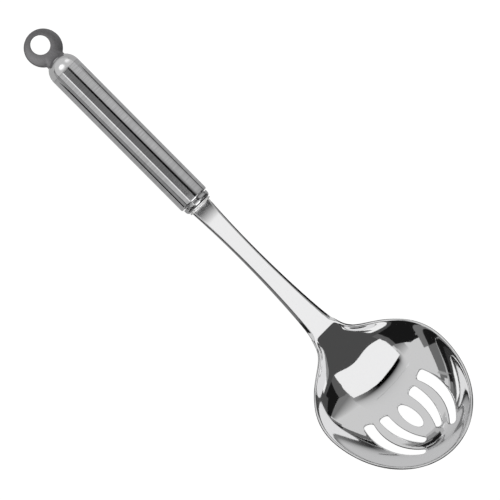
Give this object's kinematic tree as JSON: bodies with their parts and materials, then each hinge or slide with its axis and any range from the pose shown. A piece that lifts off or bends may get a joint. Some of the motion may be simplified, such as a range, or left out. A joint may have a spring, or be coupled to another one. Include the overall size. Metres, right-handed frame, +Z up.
{
  "type": "slotted serving spoon",
  "caption": "Slotted serving spoon: an oval pressed bowl with curved drain slots on a flat waisted neck, held in a round tube handle with a domed cap and a flat hanging ring.",
  "frame": {"origin": "middle of the spoon's length and width, on the table that the tube and the bottom of the bowl lie on", "axes": "+X from the hanging ring to the tip of the bowl, +Z up out of the hollow of the bowl"},
  "size_m": [0.3104, 0.0814, 0.0436],
  "materials": {
    "polished_steel": "mirror-polished stainless steel",
    "turned_steel": "turned and polished stainless steel",
    "brushed_steel": "satin stainless steel, brushed round the tube",
    "satin_steel": "dull satin stainless steel",
    "braze": "silver braze, dressed smooth",
    "bedding": "cured filled resin"
  },
  "bodies": {
    "root": {"bowl_and_neck": "polished_steel", "neck_braze": "braze", "front_ferrule": "turned_steel", "handle_tube": "brushed_steel", "tang_bedding": "bedding", "end_cap": "turned_steel", "hanging_ring": "satin_steel", "ring_braze": "braze"}
  },
  "joints": []
}
